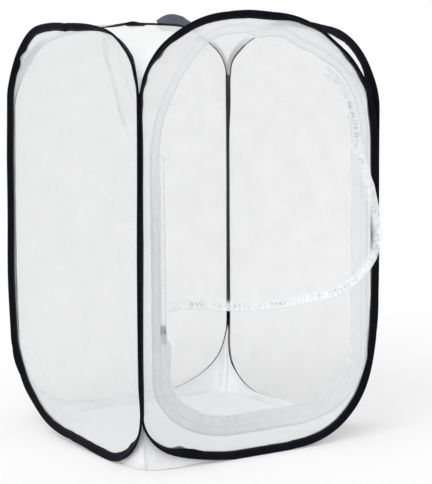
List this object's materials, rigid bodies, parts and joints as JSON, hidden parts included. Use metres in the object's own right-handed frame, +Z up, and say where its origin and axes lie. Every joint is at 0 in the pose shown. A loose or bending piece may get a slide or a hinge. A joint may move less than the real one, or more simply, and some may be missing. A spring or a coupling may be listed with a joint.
{
  "type": "insect cage",
  "caption": "Upright pop-up netting cage: mesh panels on spring-wire hoops in black binding, cloth top and base, zipped clear door with its free part curled open, and a webbing loop.",
  "frame": {"origin": "on the ground plane, under the middle of the square that the four hoops make", "axes": "+Z up, the door panel faces -Y, +X to the right of someone facing the door"},
  "size_m": [0.4, 0.5124, 0.6266],
  "materials": {
    "black_tape": "black polyester binding tape with a faint navy cast",
    "spring_steel": "round spring wire",
    "sleeve_steel": "crimped steel sleeve",
    "white_mesh": "fine white polyester netting, see-through",
    "white_cloth": "plain white woven cloth",
    "white_tape": "white woven zip and facing tape",
    "white_coil": "white nylon zip coil",
    "clear_film": "clear soft film",
    "slider_enamel": "white-grey enamelled zip slider",
    "grey_webbing": "grey-blue woven webbing"
  },
  "bodies": {
    "front": {"front_binding": "black_tape", "front_wire_hoop": "spring_steel", "front_wire_sleeve": "sleeve_steel", "front_mesh": "white_mesh", "top_panel": "white_cloth", "base_panel": "white_cloth", "door_facing": "white_tape", "frame_zip_tape": "white_tape", "frame_zip_coil": "white_coil", "zip_start_stop": "white_coil", "zip_end_stop": "white_coil", "door_window": "clear_film", "window_zip_tape": "white_tape", "window_zip_coil": "white_coil"},
    "left": {"left_binding": "black_tape", "left_wire_hoop": "spring_steel", "left_wire_sleeve": "sleeve_steel", "left_mesh": "white_mesh"},
    "back": {"back_binding": "black_tape", "back_wire_hoop": "spring_steel", "back_wire_sleeve": "sleeve_steel", "back_mesh": "white_mesh", "webbing_loop_left_end": "grey_webbing", "webbing_loop_right_end": "grey_webbing"},
    "right": {"right_binding": "black_tape", "right_wire_hoop": "spring_steel", "right_wire_sleeve": "sleeve_steel", "right_mesh": "white_mesh"},
    "door_flap": {"door_flap": "clear_film", "flap_zip_tape": "white_tape", "flap_zip_coil": "white_coil"},
    "zip_slider": {"zip_slider": "slider_enamel"},
    "pull_tab": {"zip_pull_tab": "slider_enamel"},
    "webbing_loop": {"webbing_loop": "grey_webbing"}
  },
  "joints": [
    {"name": "front_left_fold", "type": "hinge", "parent": "front", "child": "left", "pos_m": [-0.19485, -0.19485, 0.3065], "axis": [0, 0, 1], "range_deg": [-88, 88], "stiffness_Nm_per_rad": 0.4, "deforming": ["top_panel", "base_panel"]},
    {"name": "front_right_fold", "type": "hinge", "parent": "front", "child": "right", "pos_m": [0.19485, -0.19485, 0.3065], "axis": [0, 0, 1], "range_deg": [-88, 88]},
    {"name": "back_left_fold", "type": "hinge", "parent": "left", "child": "back", "pos_m": [-0.19485, 0.19485, 0.3065], "axis": [0, 0, 1], "range_deg": [-88, 88]},
    {"name": "flap_curl", "type": "hinge", "parent": "front", "child": "door_flap", "pos_m": [-0.1588, -0.1975, 0.2115], "axis": [-0.6897, 0, -0.7241], "range_deg": [0, 75], "stiffness_Nm_per_rad": 0.6},
    {"name": "slider_travel", "type": "slide", "parent": "front", "child": "zip_slider", "axis": [0, 0, 1], "range_m": [0, 0.224]},
    {"name": "tab_swing", "type": "hinge", "parent": "zip_slider", "child": "pull_tab", "pos_m": [-0.1629, -0.2007, 0.193], "axis": [-1, 0, 0], "range_deg": [0, 170]},
    {"name": "loop_flop", "type": "hinge", "parent": "back", "child": "webbing_loop", "pos_m": [0.10679, 0.2011, 0.58571], "axis": [-0.9511, 0, 0.309], "range_deg": [0, 110], "stiffness_Nm_per_rad": 0.03}
  ],
  "couplings": [
    {"joint": "front_right_fold", "follows": "front_left_fold", "ratio": 1},
    {"joint": "back_left_fold", "follows": "front_left_fold", "ratio": -1}
  ]
}
